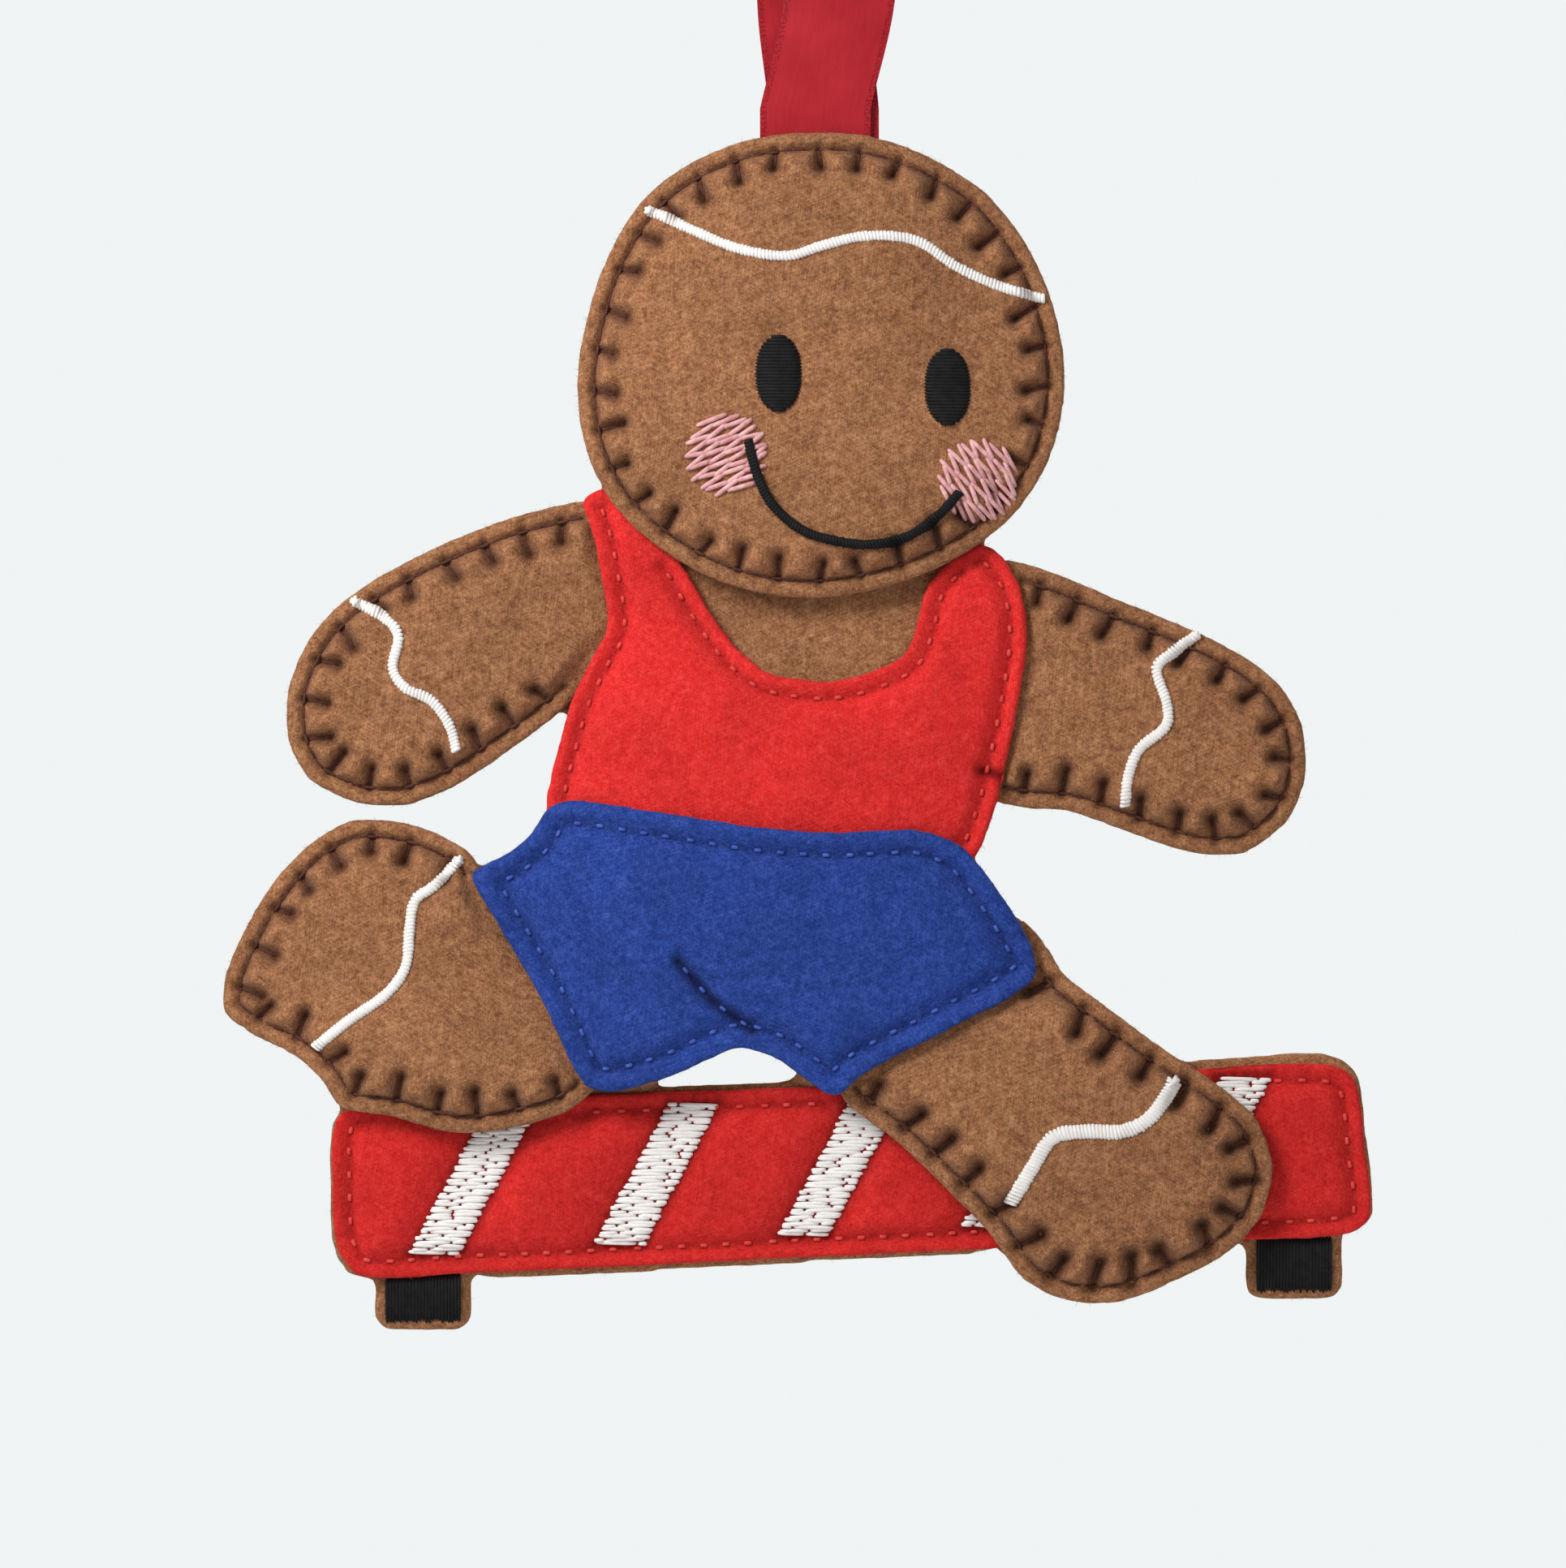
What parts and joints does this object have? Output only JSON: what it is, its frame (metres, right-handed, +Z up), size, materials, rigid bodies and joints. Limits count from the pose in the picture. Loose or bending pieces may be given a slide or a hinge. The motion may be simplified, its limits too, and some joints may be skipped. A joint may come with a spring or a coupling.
{
  "type": "felt christmas ornament",
  "caption": "Flat padded felt gingerbread athlete in vest and shorts, sitting astride a striped board and hung on a satin ribbon loop, to decorate a tree.",
  "frame": {"origin": "inside top of the ribbon loop, where it rests on what it hangs from", "axes": "+Z up along the ribbon, +Y out of the figure's flat back, +X to the right of a viewer who faces the front"},
  "size_m": [0.1041, 0.0114, 0.1717],
  "materials": {
    "brown_felt": "matt heathered felt",
    "red_felt": "matt felt",
    "blue_felt": "matt felt",
    "wadding": "loose matt fibre",
    "brown_thread": "soft sheen thread",
    "red_thread": "soft sheen thread",
    "blue_thread": "soft sheen thread",
    "black_thread": "satin stitch",
    "pink_thread": "satin stitch",
    "white_thread": "satin stitch",
    "satin_ribbon": "satin"
  },
  "bodies": {
    "hanger": {"ribbon_bend": "satin_ribbon"},
    "ribbon_legs": {"ribbon_front_leg": "satin_ribbon", "ribbon_back_leg": "satin_ribbon"},
    "figure": {"head_felt": "brown_felt", "torso_felt": "brown_felt", "vest_felt": "red_felt", "shorts_felt": "blue_felt", "board_felt": "red_felt", "left_arm_felt": "brown_felt", "right_arm_felt": "brown_felt", "left_leg_felt": "brown_felt", "right_leg_felt": "brown_felt", "back_felt": "brown_felt", "head_wadding": "wadding", "trunk_wadding": "wadding", "left_leg_wadding": "wadding", "right_leg_wadding": "wadding", "left_arm_wadding": "wadding", "right_arm_wadding": "wadding", "head_blanket_stitch": "brown_thread", "left_arm_blanket_stitch": "brown_thread", "right_arm_blanket_stitch": "brown_thread", "left_leg_blanket_stitch": "brown_thread", "right_leg_blanket_stitch": "brown_thread", "vest_stitch_1": "red_thread", "vest_stitch_2": "red_thread", "shorts_stitch_1": "blue_thread", "shorts_centre_seam": "blue_thread", "board_stitch_1": "red_thread", "board_stitch_2": "red_thread", "board_stitch_3": "red_thread", "left_eye": "black_thread", "right_eye": "black_thread", "left_cheek": "pink_thread", "right_cheek": "pink_thread", "smile": "black_thread", "head_icing": "white_thread", "left_arm_icing": "white_thread", "right_arm_icing": "white_thread", "left_leg_icing": "white_thread", "right_leg_icing": "white_thread", "board_stripe_1": "white_thread", "board_stripe_2": "white_thread", "board_stripe_3": "white_thread", "board_stripe_4": "white_thread", "board_stripe_5": "white_thread", "left_foot": "black_thread", "right_foot": "black_thread", "ribbon_tail": "satin_ribbon"}
  },
  "joints": [
    {"name": "swivel", "type": "hinge", "parent": "hanger", "child": "ribbon_legs", "pos_m": [0, 0, -0.01], "axis": [0, 0, 1], "range_deg": [-90, 90], "stiffness_Nm_per_rad": 0.0005},
    {"name": "swing", "type": "hinge", "parent": "ribbon_legs", "child": "figure", "pos_m": [0, 0, -0.06084], "axis": [1, 0, 0], "range_deg": [-100, 100]}
  ]
}
